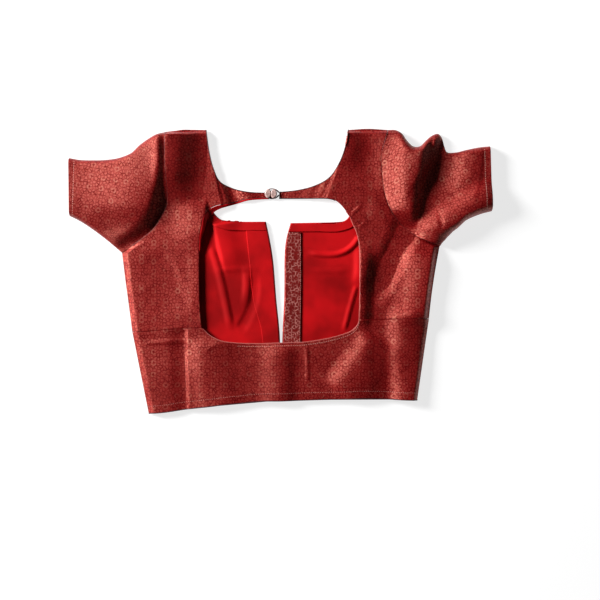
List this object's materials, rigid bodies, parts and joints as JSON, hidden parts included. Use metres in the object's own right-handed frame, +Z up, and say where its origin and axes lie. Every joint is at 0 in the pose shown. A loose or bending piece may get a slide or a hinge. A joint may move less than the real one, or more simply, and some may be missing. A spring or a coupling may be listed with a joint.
{
  "type": "choli blouse",
  "caption": "Short-sleeved brocade saree blouse laid flat, back up, with a large back window over its red lining, a buttoned neck band and open fronts.",
  "frame": {"origin": "centre of the box, on the surface that the blouse lies on", "axes": "+X towards the wearer's right sleeve, +Y from hem to shoulders, +Z up, out of the wearer's back"},
  "size_m": [0.5922, 0.399, 0.015],
  "materials": {
    "brocade": "deep red silk ground with a small copper-gold woven lattice, sheeny",
    "lining": "bright red satin-like lining cotton",
    "pearl": "pearly, pinkish white"
  },
  "bodies": {
    "root": {"back_left": "brocade", "back_right": "brocade", "back_waist": "brocade", "front_left": "brocade", "front_right": "brocade", "sleeve_left": "brocade", "sleeve_right": "brocade", "placket_right": "brocade", "front_lining_left": "lining", "front_lining_right": "lining", "placket_left": "lining", "neck_facing_left": "lining", "neck_facing_right": "lining", "window_facing_left": "lining", "button_loop": "brocade", "button": "pearl"}
  },
  "joints": []
}
